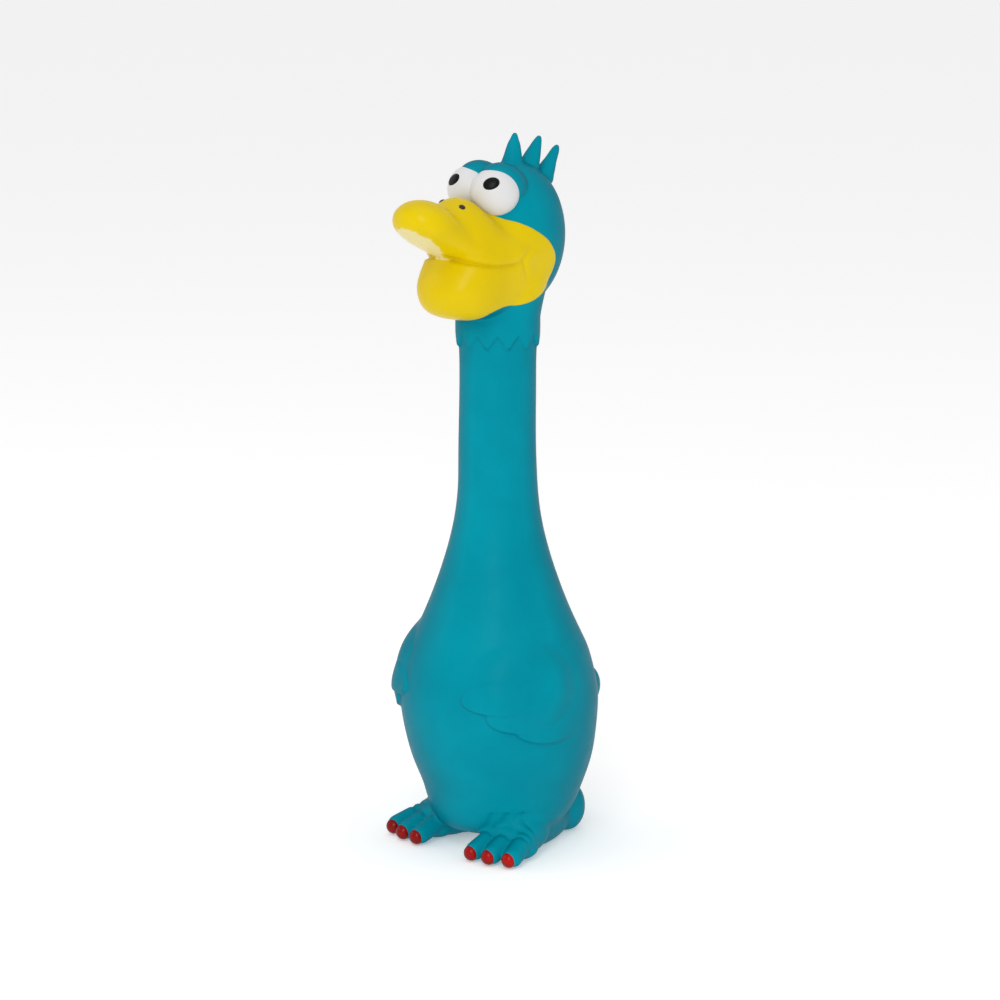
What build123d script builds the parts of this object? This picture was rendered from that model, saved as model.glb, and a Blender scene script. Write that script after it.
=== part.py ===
"""A squeaky latex rubber bird: a hollow one-piece moulded skin on two feet, with a long bendable neck, an
open bill, a three-spike crest and a reed squeaker pressed into its base.

Millimetres. +Z is up, the bird looks along -Y and its left side is +X. The origin is on the floor, under
the middle of the bounding box. The skin is one moulding; here it is cut where it bends, and each cut is a
ball in a socket, so that the rigid pieces between the cuts stay clear of each other as they move.
"""

import os
from math import radians, sqrt

from build123d import *

# ---- driving dimensions ----
HEIGHT = 280.0  # floor to the tip of the front crest spike
HALF_DEPTH = 53.5  # bill tip and tail tip, each from the origin
WALL = 1.9  # thickness of the latex skin
FIT = 0.3  # clearance between pieces that move on each other
FLOOR_GAP = 7.0  # height of the base plate, which the feet hold off the floor

# torso outline, (radius, height), from the base plate to the shoulder
TORSO = [(25.5, FLOOR_GAP), (30.8, 20.0), (36.4, 38.0), (39.0, 57.0), (37.0, 71.0), (29.6, 91.0)]

# neck stations: height of each pivot, half of the gap the bend needs, skin radius there
SHOULDER = {"z": 114.0, "gap": 3.0, "radius": 21.0, "air_hole": 13.5}
LOW_NECK = {"z": 135.0, "gap": 3.8, "radius": 16.4, "air_hole": 8.0}
HIGH_NECK = {"z": 155.0, "gap": 4.1, "radius": 15.2, "air_hole": 8.0}
TWIST = {"z": 174.0, "gap": 0.2, "radius": 14.9, "air_hole": 0.0}
NAPE = {"z": 195.2, "gap": 3.3, "radius": 14.9, "air_hole": 8.0}
BALL_STEP = 1.3  # how far a ball's surface lies inside the skin's

# head
SKULL_AT = (0.0, 7.5, 240.5)
SKULL = (17.5, 24.0, 29.0)
COLLAR_RADIUS = 16.3
COLLAR_TEETH = 12
COLLAR_NOTCH = 6.0
EYE_AT = (6.3, -7.8, 259.2)
EYE_RADIUS = 9.5
GAZE = (0.42, -0.66, 0.42)
PUPIL_RADIUS = 3.0
PAINT = 0.35  # how proud a painted dot stands
NOSTRIL_AT = (5.1, -23.0, 255.6)
NOSTRIL_RADIUS = 0.95
UPPER_HINGE = (-29.0, 246.0)  # y, z
UPPER_BARREL = 7.6
LOWER_HINGE = (-24.0, 227.6)
LOWER_BARREL = 5.6

# crest spikes: tip (y, z), root (y, z), root radius
CREST = {
    "front": ((9.4, HEIGHT), (8.0, 270.2), 3.9),
    "middle": ((23.0, 277.8), (17.6, 268.0), 3.9),
    "rear": ((32.8, 273.4), (25.6, 262.8), 3.8),
}

# tail, a round lobe whose back reaches HALF_DEPTH
TAIL = (9.8, 14.5, 11.8)
TAIL_HEIGHT = 54.5

# feet: front ends of the toes, and where the toes leave the foot
TOES = {"inner": (15.4, -31.4), "middle": (24.0, -30.6), "outer": (32.0, -27.6)}
TOE_ROOT = {"inner": (16.0, -12.0), "middle": (22.0, -11.0), "outer": (27.0, -9.0)}
TOE_RADIUS = 3.8
TOE_CENTRE_HEIGHT = 3.6
NAIL_RADIUS = 3.0
NAIL_REACH = 1.1  # how far a nail stands ahead of its toe
FOOT_ENDS = (-30.0, 50.0)  # front and back of the foot behind its toes
FOOT_HOLLOW = (-18.0, 35.0)  # front and back of the hollow inside it

# squeaker, pressed up into the hole in the base plate
SQUEAKER_Y = -8.0
CUP_RADIUS = 7.2
CUP_HEIGHT = 11.0
FLANGE_RADIUS = 8.5
FLANGE_THICKNESS = 1.2
CUP_WALL = 1.2
AIR_PORT = 1.6
REED_LENGTH = 8.0
REED_WIDTH = 3.2
REED_THICKNESS = 0.3
REED_HEIGHT = FLOOR_GAP + 6.2  # underside of the reed above the floor

# belly press: the round area of the belly that a thumb pushes in
PRESS_RADIUS = 20.0
PRESS_HEIGHT = 57.0
PRESS_GAP = 0.5


def ball(centre, radius):
    return Pos(*centre) * Sphere(radius)


def tube_solid(z0, r0, z1, r1):
    """A solid frustum about the Z axis."""
    body = Cylinder(r0, z1 - z0) if abs(r0 - r1) < 1e-6 else Cone(r0, r1, z1 - z0)
    return Pos(0, 0, (z0 + z1) / 2) * body


def slab(x0, x1, y0, y1, z0, z1):
    return Pos((x0 + x1) / 2, (y0 + y1) / 2, (z0 + z1) / 2) * Box(x1 - x0, y1 - y0, z1 - z0)


def above(z, solid):
    return solid & slab(-200, 200, -200, 200, z, 400)


def egg(centre, radii):
    """An ellipsoid with a different half-size on each axis."""
    return Pos(*centre) * scale(Sphere(1.0), by=radii)


def hollowed(solid):
    """The same solid with an even-walled hollow left inside it."""
    box = solid.bounding_box()
    centre = box.center()
    shrink = tuple(1 - 2 * WALL / size for size in box.size)
    core = Pos(*centre) * scale(Pos(*(-centre)) * solid, by=shrink)
    return solid - core


def mirrored(solid):
    return mirror(solid, about=Plane.YZ)


def side_prism(points, half_width):
    """A closed side outline of (y, z) points, carried across the bird."""
    outline = make_face(Plane.YZ * Polyline(*points, close=True))
    return extrude(outline, amount=half_width, both=True)


def plan_prism(points, z0, z1):
    """A closed outline of (x, y) points, carried up from z0 to z1."""
    outline = make_face(Plane.XY.offset(z0) * Polyline(*points, close=True))
    return extrude(outline, amount=z1 - z0)


def torso_solid(extra):
    """The torso's outer form, grown by extra, as a solid of revolution up to the shoulder gap."""
    top = SHOULDER["z"] - SHOULDER["gap"]
    wall = [(r + extra, z) for r, z in TORSO] + [(SHOULDER["radius"] + 1.2 + extra, top)]
    floor = FLOOR_GAP - extra
    wall[0] = (wall[0][0], floor)
    curve = Plane.XZ * Spline(*wall)
    rest = Plane.XZ * Polyline(wall[-1], (0, top), (0, floor), wall[0])
    return revolve(make_face(curve + rest), Axis.Z)


def shell_ball(station):
    """The hollow ball that closes a piece under a neck station."""
    centre = (0, 0, station["z"])
    radius = station["radius"] - BALL_STEP
    z_rim = station["z"] - station["gap"]
    rim = tube_solid(z_rim - WALL, station["radius"] - 0.1, z_rim, station["radius"] - 0.1)
    shell = ball(centre, radius) + rim - ball(centre, radius - WALL)
    shell = above(z_rim - WALL, shell)
    return shell - Pos(0, 0, station["z"] + radius) * Cylinder(station["air_hole"], 2 * radius)


def socket(station):
    return ball((0, 0, station["z"]), station["radius"] - BALL_STEP + FIT)


def neck_ring(low, high):
    """One length of the neck, from the socket over the ball below to the ball above."""
    z0 = low["z"] + low["gap"]
    z1 = high["z"] - high["gap"]
    outer = tube_solid(z0, low["radius"], z1, high["radius"])
    bore = tube_solid(z0 - 1, low["radius"] - WALL, z1 + 1, high["radius"] - WALL)
    ring = outer - bore
    if high is not TWIST:
        ring += shell_ball(high)
    if low is not TWIST:
        ring -= socket(low)
    return ring


def torso_parts():
    """The torso skin with its belly press, and the solid that everything on the torso is trimmed by."""
    outer = torso_solid(0)
    press_zone = Pos(0, -50, PRESS_HEIGHT) * Rot(90, 0, 0) * Cylinder(PRESS_RADIUS, 100)
    press_hole = Pos(0, -50, PRESS_HEIGHT) * Rot(90, 0, 0) * Cylinder(PRESS_RADIUS + PRESS_GAP, 100)
    skin = outer - torso_solid(-WALL)
    torso = skin + shell_ball(SHOULDER)
    torso -= press_hole
    torso -= Pos(0, SQUEAKER_Y, FLOOR_GAP) * Cylinder(CUP_RADIUS + 0.1, 8)
    panel = skin & press_zone
    return outer, torso, panel


def wing(trim):
    """Raised feather relief on the left flank, scalloped along its lower front edge."""
    outline = [
        (-35.5, 65.5), (-32.5, 61.5), (-29.5, 60.5), (-28.5, 56.5), (-25.0, 54.8), (-22.5, 55.0),
        (-20.5, 50.8), (-15.0, 48.6), (-9.0, 49.6), (-3.0, 54.0), (1.0, 62.0), (2.0, 72.0),
        (-1.0, 81.0), (-8.0, 87.5), (-17.0, 89.0), (-25.0, 84.5), (-31.0, 76.0), (-34.5, 70.0),
    ]
    prism = side_prism(outline, 60) & slab(2, 60, -60, 60, 0, 120)
    return (torso_solid(3.0) & prism) - trim


def tail(trim):
    centre = (0, HALF_DEPTH - TAIL[1], TAIL_HEIGHT)
    return egg(centre, TAIL) - egg(centre, tuple(r - WALL for r in TAIL)) - trim


def toe_solid(name):
    tip, root = TOES[name], TOE_ROOT[name]
    start = Vector(root[0], root[1], TOE_CENTRE_HEIGHT + 2.0)
    end = Vector(tip[0], tip[1] + TOE_RADIUS, TOE_CENTRE_HEIGHT)
    along = end - start
    rod = extrude(Plane(origin=start, z_dir=along) * Circle(TOE_RADIUS), amount=along.length)
    return rod + ball(end, TOE_RADIUS)


def nail_solid(name):
    tip = TOES[name]
    return ball((tip[0], tip[1] + NAIL_RADIUS - NAIL_REACH, TOE_CENTRE_HEIGHT + 0.3), NAIL_RADIUS)


def foot_form(inset):
    """The left foot behind its toes, drawn in by inset, down to a flat sole."""
    sections = [
        ((7.6, 37.0), 4.6, 8.5, 7.5),
        ((8.6, 31.0), 6.8, 11.5, 7.5),
        ((12.0, 16.0), 7.5, 16.0, 5.0),
        ((16.5, 0.0), 8.8, 16.5, 2.5),
        ((21.0, -12.0), 10.5, 10.5, 1.5),
        ((23.4, -18.0), 11.0, 7.0, 1.5),
    ]
    ahead = Vector(16.0, -61.0, 0).normalized()
    rings = []
    for (x, y), half_width, half_height, centre_height in sections:
        plane = Plane(origin=(x, y, centre_height), x_dir=(0, 0, 1), z_dir=ahead)
        rings.append(plane * Ellipse(half_height - inset, half_width - inset))
    front, back = FOOT_HOLLOW if inset else FOOT_ENDS
    return loft(rings) & slab(-80, 80, front, back, inset, 60)


def foot_parts(trim):
    """Left foot with its toes, and its three toenails."""
    foot = foot_form(0) - foot_form(WALL)
    nails = {}
    for name in TOES:
        toe = toe_solid(name)
        foot += toe
        nails[name] = above(0.3, nail_solid(name) - toe)
    foot = above(0, foot) - trim
    return foot, nails


def head_outer():
    skull = egg(SKULL_AT, SKULL)
    collar = tube_solid(NAPE["z"] + NAPE["gap"], COLLAR_RADIUS, SKULL_AT[2], COLLAR_RADIUS)
    return skull + collar


def head_skin(outer):
    inner = egg(SKULL_AT, tuple(r - WALL for r in SKULL))
    bore = COLLAR_RADIUS - WALL
    inner += tube_solid(NAPE["z"], bore, SKULL_AT[2], bore)
    skin = outer - inner - socket(NAPE)
    z_edge = NAPE["z"] + NAPE["gap"]
    half_pitch = COLLAR_RADIUS * radians(180 / COLLAR_TEETH)
    low = z_edge - 0.01
    notch = Polyline((-half_pitch, low), (0, z_edge + COLLAR_NOTCH), (half_pitch, low), close=True)
    for i in range(COLLAR_TEETH):
        turn = Rot(0, 0, (i + 0.5) * 360 / COLLAR_TEETH)
        cutter = extrude(make_face(Plane.XZ * notch), amount=COLLAR_RADIUS + 4)
        skin -= turn * cutter
    return skin


def eye_parts(trim):
    """Left eye dome and its pupil."""
    dome = ball(EYE_AT, EYE_RADIUS)
    eye = (dome - trim) & slab(0, 40, -60, 60, 200, 300)
    gaze = Vector(*GAZE).normalized()
    centre = Vector(*EYE_AT)
    spot = extrude(Plane(origin=centre, z_dir=gaze) * Circle(PUPIL_RADIUS), amount=EYE_RADIUS + 3)
    pupil = (ball(EYE_AT, EYE_RADIUS + PAINT) - dome) & spot
    return eye, pupil


def bill_base(trim, eyes):
    """The fixed root of the bill: nose hump, cheeks and chin, with a round seat for each half of the bill."""
    side = [
        (11.0, 233.0), (4.0, 242.5), (-6.0, 247.0), (-14.0, 250.5), (-20.0, 256.5), (-25.0, 256.8),
        (-29.0, 256.2), (-29.0, 236.5), (-24.0, 234.4), (-24.0, 221.0), (-19.0, 216.5), (-8.0, 214.0),
        (3.0, 217.5), (9.0, 225.0),
    ]
    half_plan = [(0.0, 14.0), (19.0, 8.0), (19.2, 0.0), (18.6, -10.0), (17.0, -20.0), (14.8, -29.0)]
    plan = half_plan + [(0.0, -29.5)] + [(-x, y) for x, y in reversed(half_plan) if x]
    base = side_prism(side, 30) & plan_prism(plan, 205, 262)
    base = base - trim - eyes
    for (y, z), radius in ((UPPER_HINGE, UPPER_BARREL), (LOWER_HINGE, LOWER_BARREL)):
        base -= Pos(0, y, z) * Rot(0, 90, 0) * Cylinder(radius + FIT, 60)
    return base


def bill_half(hinge, barrel, plan, side):
    """A free half of the bill: a lobe that grows out of a barrel on its bending axis."""
    y, z = hinge
    lobe = side_prism(side, 30) & plan_prism(plan, 190, 280)
    root = Pos(0, y, z) * Rot(0, 90, 0) * Cylinder(barrel, 2 * plan[0][0])
    return hollowed(lobe) + root


def upper_bill():
    y, z = UPPER_HINGE
    half = [(13.6, y), (13.4, -36.0), (13.0, -42.0), (11.4, -47.0), (8.0, -51.0), (3.5, -53.2)]
    plan = half + [(0.0, -HALF_DEPTH)] + [(-px, py) for px, py in reversed(half)]
    side = [
        (y, z + UPPER_BARREL - 0.4), (-34.0, 255.2), (-40.0, 257.0), (-46.0, 257.4), (-51.0, 256.0),
        (-HALF_DEPTH, 253.0), (-52.0, 250.2), (-44.0, 245.6), (-36.0, 240.4), (y, z - UPPER_BARREL + 0.4),
    ]
    return bill_half(UPPER_HINGE, UPPER_BARREL, plan, side)


def lower_bill():
    y, z = LOWER_HINGE
    half = [(14.2, y), (13.6, -29.0), (12.0, -33.5), (8.6, -37.0), (4.0, -39.0)]
    plan = half + [(0.0, -39.4)] + [(-px, py) for px, py in reversed(half)]
    side = [
        (y - 4.5, z + 4.4), (-34.0, 226.0), (-38.0, 219.0), (-39.4, 214.5), (-37.6, 211.2),
        (-33.0, 210.2), (-27.0, 213.0), (y - 1.0, z - LOWER_BARREL + 0.2),
    ]
    return bill_half(LOWER_HINGE, LOWER_BARREL, plan, side)


def nostril(base):
    """A dark dot on the left of the nose hump."""
    x, y, z = NOSTRIL_AT
    stud = Pos(x, y, z + 0.7) * Cylinder(NOSTRIL_RADIUS, 3.0)
    return stud - base


def crest_spike(tip, root, radius, trim):
    """A pointed spike on a ball that seats in the skull."""
    base = Vector(0, root[0], root[1])
    point = Vector(0, tip[0], tip[1])
    along = point - base
    end_radius = 0.9
    cone = loft([
        Plane(origin=base, z_dir=along) * Circle(radius - 0.1),
        Plane(origin=base + along * 0.45, z_dir=along) * Circle(radius * 0.66),
        Plane(origin=point - along.normalized() * end_radius, z_dir=along) * Circle(end_radius),
    ])
    tip_ball = ball(point - along.normalized() * end_radius, end_radius)
    return cone + tip_ball + ball(base, radius)


def squeaker_parts():
    """Cup with its flange and air port, the grooved reed seat, the reed, and the slotted cap."""
    x, y = 0.0, SQUEAKER_Y
    z_floor = FLOOR_GAP - FLANGE_THICKNESS
    z_top = FLOOR_GAP + CUP_HEIGHT
    at = Pos(x, y, 0)
    cup = at * tube_solid(z_floor, CUP_RADIUS, z_top, CUP_RADIUS)
    cup -= at * tube_solid(z_floor + 1.6, CUP_RADIUS - CUP_WALL, z_top + 1, CUP_RADIUS - CUP_WALL)
    cup += at * tube_solid(z_floor, FLANGE_RADIUS, FLOOR_GAP, FLANGE_RADIUS)
    cup -= at * tube_solid(z_floor - 1, AIR_PORT, z_floor + 3, AIR_PORT)
    z_seat = z_floor + 1.6
    seat = at * tube_solid(z_seat, CUP_RADIUS - CUP_WALL, REED_HEIGHT, CUP_RADIUS - CUP_WALL)
    seat -= at * tube_solid(z_seat - 1, AIR_PORT, REED_HEIGHT - 3.0, AIR_PORT)
    groove = REED_WIDTH / 2 - 0.6
    seat -= slab(-groove, groove, y - 4.8, y + 2.0, REED_HEIGHT - 3.2, REED_HEIGHT + 1)
    reed_back = y + REED_LENGTH / 2
    half = REED_WIDTH / 2
    reed_z = REED_HEIGHT + 0.02
    reed = slab(-half, half, reed_back - REED_LENGTH, reed_back, reed_z, reed_z + REED_THICKNESS)
    clamp_z = REED_HEIGHT + REED_THICKNESS + 0.12
    clamp_front, clamp_back = reed_back - 1.0, reed_back + 0.9
    clamp = slab(-3.0, 3.0, clamp_front, clamp_back, clamp_z, z_top - 1.4)
    for leg_x in (-3.0, half + 0.15):
        clamp += slab(leg_x, leg_x + 3.0 - half - 0.15, clamp_front, clamp_back, REED_HEIGHT, clamp_z)
    cap = at * tube_solid(z_top - 1.4, CUP_RADIUS - CUP_WALL, z_top, CUP_RADIUS - CUP_WALL)
    for i in range(-1, 2):
        reach = sqrt((CUP_RADIUS - 3.2) ** 2 - (i * 3.0) ** 2)
        cap -= slab(i * 3.0 - 0.7, i * 3.0 + 0.7, y - reach, y + reach, z_top - 3, z_top + 1)
    return {"squeaker_cup": cup, "squeaker_reed_seat": seat, "squeaker_reed": reed,
            "squeaker_reed_clamp": clamp, "squeaker_cap": cap}


def build():
    """Every node of the bird, by name."""
    torso_trim, torso, panel = torso_parts()
    nodes = {"torso_skin": torso, "belly_press": panel}

    for side, place in (("left", lambda s: s), ("right", mirrored)):
        foot, nails = foot_parts(torso_trim)
        nodes[f"foot_{side}"] = place(foot)
        for toe, nail in nails.items():
            nodes[f"toenail_{side}_{toe}"] = place(nail)
        nodes[f"wing_{side}"] = place(wing(torso_trim))
    nodes["tail"] = tail(torso_trim)
    nodes.update(squeaker_parts())

    stations = [SHOULDER, LOW_NECK, HIGH_NECK, TWIST, NAPE]
    for number, (low, high) in enumerate(zip(stations, stations[1:]), start=1):
        nodes[f"neck_ring_{number}"] = neck_ring(low, high)

    outer = head_outer()
    eye, pupil = eye_parts(outer)
    base = bill_base(outer, ball(EYE_AT, EYE_RADIUS) + mirrored(ball(EYE_AT, EYE_RADIUS)))
    skull = head_skin(outer)
    for name, (tip, root, radius) in CREST.items():
        skull -= ball((0, root[0], root[1]), radius + FIT)
        nodes[f"crest_{name}"] = crest_spike(tip, root, radius, outer)
    nodes["head_skin"] = skull
    nodes["bill_base"] = base
    for side, place in (("left", lambda s: s), ("right", mirrored)):
        nodes[f"eye_{side}"] = place(eye)
        nodes[f"pupil_{side}"] = place(pupil)
        nodes[f"nostril_{side}"] = place(nostril(base))
    nodes["upper_bill"] = upper_bill()
    nodes["lower_bill"] = lower_bill()
    return nodes


def main():
    os.makedirs("parts", exist_ok=True)
    for name, shape in build().items():
        solids = shape.solids()
        export_step(Compound(children=list(solids)) if len(solids) > 1 else solids[0], f"parts/{name}.step")
        print(name, len(solids), round(sum(s.volume for s in solids)))


main()
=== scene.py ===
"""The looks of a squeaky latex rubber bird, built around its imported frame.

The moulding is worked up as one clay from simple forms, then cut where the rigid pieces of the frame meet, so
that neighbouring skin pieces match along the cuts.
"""

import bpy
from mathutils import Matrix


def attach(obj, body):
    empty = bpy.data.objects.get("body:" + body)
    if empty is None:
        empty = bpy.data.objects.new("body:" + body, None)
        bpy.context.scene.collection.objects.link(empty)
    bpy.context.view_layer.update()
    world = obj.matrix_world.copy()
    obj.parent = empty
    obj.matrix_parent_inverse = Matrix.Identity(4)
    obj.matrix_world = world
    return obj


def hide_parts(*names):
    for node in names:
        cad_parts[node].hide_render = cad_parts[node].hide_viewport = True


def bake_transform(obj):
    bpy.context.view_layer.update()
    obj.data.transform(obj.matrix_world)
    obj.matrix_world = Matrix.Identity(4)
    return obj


bl_info = {
    "name": "Squeaky Latex Bird",
    "version": (1, 0, 0),
    "blender": (4, 5, 0),
    "location": "3D View > Sidebar > Latex Bird",
    "description": "Models a hollow latex squeeze bird with painted bill, eyes and nails, and its studio stage",
    "category": "Object",
}

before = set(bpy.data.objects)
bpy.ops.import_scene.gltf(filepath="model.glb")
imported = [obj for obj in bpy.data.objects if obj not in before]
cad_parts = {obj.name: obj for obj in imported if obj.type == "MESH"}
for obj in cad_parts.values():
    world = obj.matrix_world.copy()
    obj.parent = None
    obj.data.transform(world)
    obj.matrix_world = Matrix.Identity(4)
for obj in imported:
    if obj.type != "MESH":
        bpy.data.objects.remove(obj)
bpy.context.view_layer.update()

from math import cos, pi, radians, sin

import bpy
import numpy as np
from mathutils import Quaternion, Vector

MM = 0.001


# ---------------------------------------------------------------- user settings
class BirdSizes(bpy.types.PropertyGroup):
    """Sizes of the moulding's detail, in millimetres."""

    grain: bpy.props.FloatProperty(
        name="Clay grain", description="Size of the faces that the clay is rebuilt with, in mm", default=0.62)
    fine_grain: bpy.props.FloatProperty(
        name="Fine grain", description="Size of the faces on small painted parts, in mm", default=0.35)
    wing_lift: bpy.props.FloatProperty(
        name="Wing lift", description="How proud the folded wing stands, in mm", default=2.3)
    feather_lift: bpy.props.FloatProperty(
        name="Feather lift", description="How proud the feather tips stand on the wing, in mm", default=2.0)
    collar_radius: bpy.props.FloatProperty(
        name="Collar radius", description="Radius of the hood above its zigzag hem, in mm", default=16.5)
    collar_teeth: bpy.props.IntProperty(
        name="Collar teeth", description="Number of points around the collar's hem", default=12)
    paint: bpy.props.FloatProperty(
        name="Paint thickness", description="How proud a coat of paint stands, in mm", default=0.3)


class BirdColours(bpy.types.PropertyGroup):
    """Colours of the latex and of its painted coats."""

    latex: bpy.props.FloatVectorProperty(
        name="Latex", description="Colour of the bare latex", subtype="COLOR", default=(0.0, 0.282, 0.368))
    latex_shade: bpy.props.FloatVectorProperty(
        name="Latex shade", description="Colour of the latex where it is thick", subtype="COLOR",
        default=(0.0, 0.246, 0.328))
    bill: bpy.props.FloatVectorProperty(
        name="Bill", description="Colour of the bill's coat", subtype="COLOR", default=(0.74, 0.545, 0.0))
    bill_shade: bpy.props.FloatVectorProperty(
        name="Bill shade", description="Colour of the bill's coat where it pools", subtype="COLOR",
        default=(0.67, 0.485, 0.0))
    eye: bpy.props.FloatVectorProperty(
        name="Eye", description="Colour of the eyes' coat", subtype="COLOR", default=(0.73, 0.73, 0.74))
    nail: bpy.props.FloatVectorProperty(
        name="Nail", description="Colour of the toenails' coat", subtype="COLOR", default=(0.46, 0.003, 0.001))
    pupil: bpy.props.FloatVectorProperty(
        name="Pupil", description="Colour of the pupils", subtype="COLOR", default=(0.002, 0.002, 0.0025))


def sizes():
    """The sizes set in the sidebar."""
    return bpy.context.scene.bird_sizes


def colours():
    """The colours set in the sidebar."""
    return bpy.context.scene.bird_colours


# ---------------------------------------------------------------- modelling by hand
def clear_selection():
    """Leaves edit mode, with nothing selected."""
    if bpy.context.object and bpy.context.object.mode != "OBJECT":
        bpy.ops.object.mode_set(mode="OBJECT")
    bpy.ops.object.select_all(action="DESELECT")


def pick(obj):
    """Makes the object the only one that the next step works on."""
    clear_selection()
    obj.select_set(True)
    bpy.context.view_layer.objects.active = obj
    return obj


def settle(obj):
    """Puts the object's place into its mesh."""
    pick(obj)
    bpy.ops.object.transform_apply(location=True, rotation=True, scale=True)
    return obj


def turn_outward(obj):
    """Makes every face look out of the closed form."""
    pick(obj)
    bpy.ops.object.mode_set(mode="EDIT")
    bpy.ops.mesh.select_all(action="SELECT")
    bpy.ops.mesh.normals_make_consistent(inside=False)
    bpy.ops.object.mode_set(mode="OBJECT")
    return obj


def ball_for_shaping(segments, ring_count):
    """A ball to be shaped, with each point's place on it and its angle round the ball's own axis."""
    clear_selection()
    bpy.ops.mesh.primitive_uv_sphere_add(segments=segments, ring_count=ring_count, radius=1.0)
    obj = bpy.context.object
    ball = points_of(obj) * MM
    return obj, ball, np.arctan2(ball[:, 1], ball[:, 0])


def blob(centre, radii, turn=(0, 0, 0)):
    """An ellipsoid lump of clay. Sizes in mm, turn in degrees about X, Y and Z."""
    clear_selection()
    bpy.ops.mesh.primitive_uv_sphere_add(
        segments=64, ring_count=32, radius=1.0, location=[c * MM for c in centre],
        rotation=[radians(t) for t in turn])
    obj = bpy.context.object
    obj.scale = [r * MM for r in radii]
    return settle(obj)


def limb(start, end, start_radius, end_radius):
    """A round tapering limb with ball ends."""
    a, b = Vector(start) * MM, Vector(end) * MM
    along = b - a
    clear_selection()
    bpy.ops.mesh.primitive_cone_add(
        vertices=48, radius1=start_radius * MM, radius2=end_radius * MM, depth=along.length,
        location=(a + b) / 2, rotation=along.to_track_quat("Z", "Y").to_euler())
    rod = settle(bpy.context.object)
    return [rod, blob(start, [start_radius] * 3), blob(end, [end_radius] * 3)]


def ring_form(rings, segments=96):
    """A form raised ring by ring from the lowest: each ring is (z, centre y, half width, half depth)."""
    clear_selection()
    z, y, half_width, half_depth = rings[0]
    bpy.ops.mesh.primitive_circle_add(
        vertices=segments, radius=half_width * MM, fill_type="NGON", location=(0, y * MM, z * MM))
    obj = bpy.context.object
    obj.scale.y = half_depth / half_width
    settle(obj)
    bpy.ops.object.mode_set(mode="EDIT")
    bpy.ops.mesh.select_all(action="SELECT")
    for low, high in zip(rings, rings[1:]):
        step = (0, (high[1] - low[1]) * MM, (high[0] - low[0]) * MM)
        bpy.ops.mesh.extrude_region_move(TRANSFORM_OT_translate={"value": step})
        bpy.ops.transform.resize(
            value=(high[2] / low[2], high[3] / low[3], 1), center_override=(0, high[1] * MM, high[0] * MM))
    return turn_outward(obj)


def eased(stations, values, at):
    """Smooth values between stations, without overshoot."""
    stations, values = np.asarray(stations, float), np.asarray(values, float)
    step, rise = np.diff(stations), np.diff(values)
    slope = rise / step
    tangent = np.empty_like(values)
    tangent[0], tangent[-1] = slope[0], slope[-1]
    same = slope[:-1] * slope[1:] > 0
    total = slope[:-1] + slope[1:]
    tangent[1:-1] = np.where(same, 2 * slope[:-1] * slope[1:] / np.where(total == 0, 1, total), 0)
    index = np.clip(np.searchsorted(stations, at) - 1, 0, len(step) - 1)
    t = np.clip((at - stations[index]) / step[index], 0, 1)
    start, end = values[index], values[index + 1]
    bend_in, bend_out = tangent[index] * step[index], tangent[index + 1] * step[index]
    return (start * (1 + 2 * t) * (1 - t) ** 2 + bend_in * t * (1 - t) ** 2
            + end * t * t * (3 - 2 * t) - bend_out * t * t * (1 - t))


def stack(stations, upright, squareness=2.0):
    """A rounded form through a stack of sections, shaped from a ball.

    Upright stations are (z, centre y, half width, back depth, front depth); lying ones are
    (y, middle z, half width, height above, depth below).
    """
    obj, ball, around = ball_for_shaping(128, 96)
    columns = np.array(stations, float).T
    at = columns[0][0] + (columns[0][-1] - columns[0][0]) * (1 + ball[:, 2]) / 2
    middle, width, over, under = (eased(columns[0], column, at) for column in columns[1:])
    power = 2 / squareness
    across = np.sign(np.cos(around)) * np.abs(np.cos(around)) ** power * width
    along = np.sign(np.sin(around)) * np.abs(np.sin(around)) ** power
    along = middle + along * np.where(along > 0, over, under)
    if upright:
        move_points(obj, np.stack((across, along, at), 1))
    else:
        move_points(obj, np.stack((across, at, along), 1))
    return turn_outward(obj)


def horn(root, tip, profile, thinner=0.0):
    """A round horn from root to tip: profile is (distance along, radius), to a closed end."""
    obj, ball, around = ball_for_shaping(96, 96)
    along = (Vector(tip) - Vector(root)).normalized()
    side = along.orthogonal().normalized()
    other = along.cross(side)
    distances, radii = np.array(profile, float).T
    at = distances[0] + (distances[-1] - distances[0]) * (1 + ball[:, 2]) / 2
    radius = np.maximum(eased(distances, radii, at) - thinner, 0.0)
    spread = np.outer(np.cos(around) * radius, side) + np.outer(np.sin(around) * radius, other)
    move_points(obj, np.array(root) + np.outer(at, along) + spread)
    return turn_outward(obj)


def modify(obj, kind, **settings):
    """Adds a modifier, sets it and applies it."""
    pick(obj)
    modifier = obj.modifiers.new(kind, kind)
    for key, value in settings.items():
        setattr(modifier, key, value)
    bpy.ops.object.modifier_apply(modifier=modifier.name)
    return obj


def flatten(lumps):
    """Walks through lumps, and through lists of lumps, one lump at a time."""
    for lump in lumps:
        if isinstance(lump, list):
            yield from flatten(lump)
        else:
            yield lump


def join(lumps, name):
    """Makes the lumps one object, without changing their faces."""
    lumps = list(flatten(lumps))
    pick(lumps[0])
    for lump in lumps:
        lump.select_set(True)
    if len(lumps) > 1:
        bpy.ops.object.join()
    obj = bpy.context.object
    obj.name = obj.data.name = name
    return obj


def clay(name, lumps, grain, smoothing):
    """Joins lumps of clay into one even skin and smooths it."""
    obj = join(lumps, name)
    modify(obj, "REMESH", mode="VOXEL", voxel_size=grain * MM, use_smooth_shade=True)
    if smoothing:
        modify(obj, "SMOOTH", factor=0.5, iterations=smoothing)
    return obj


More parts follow.
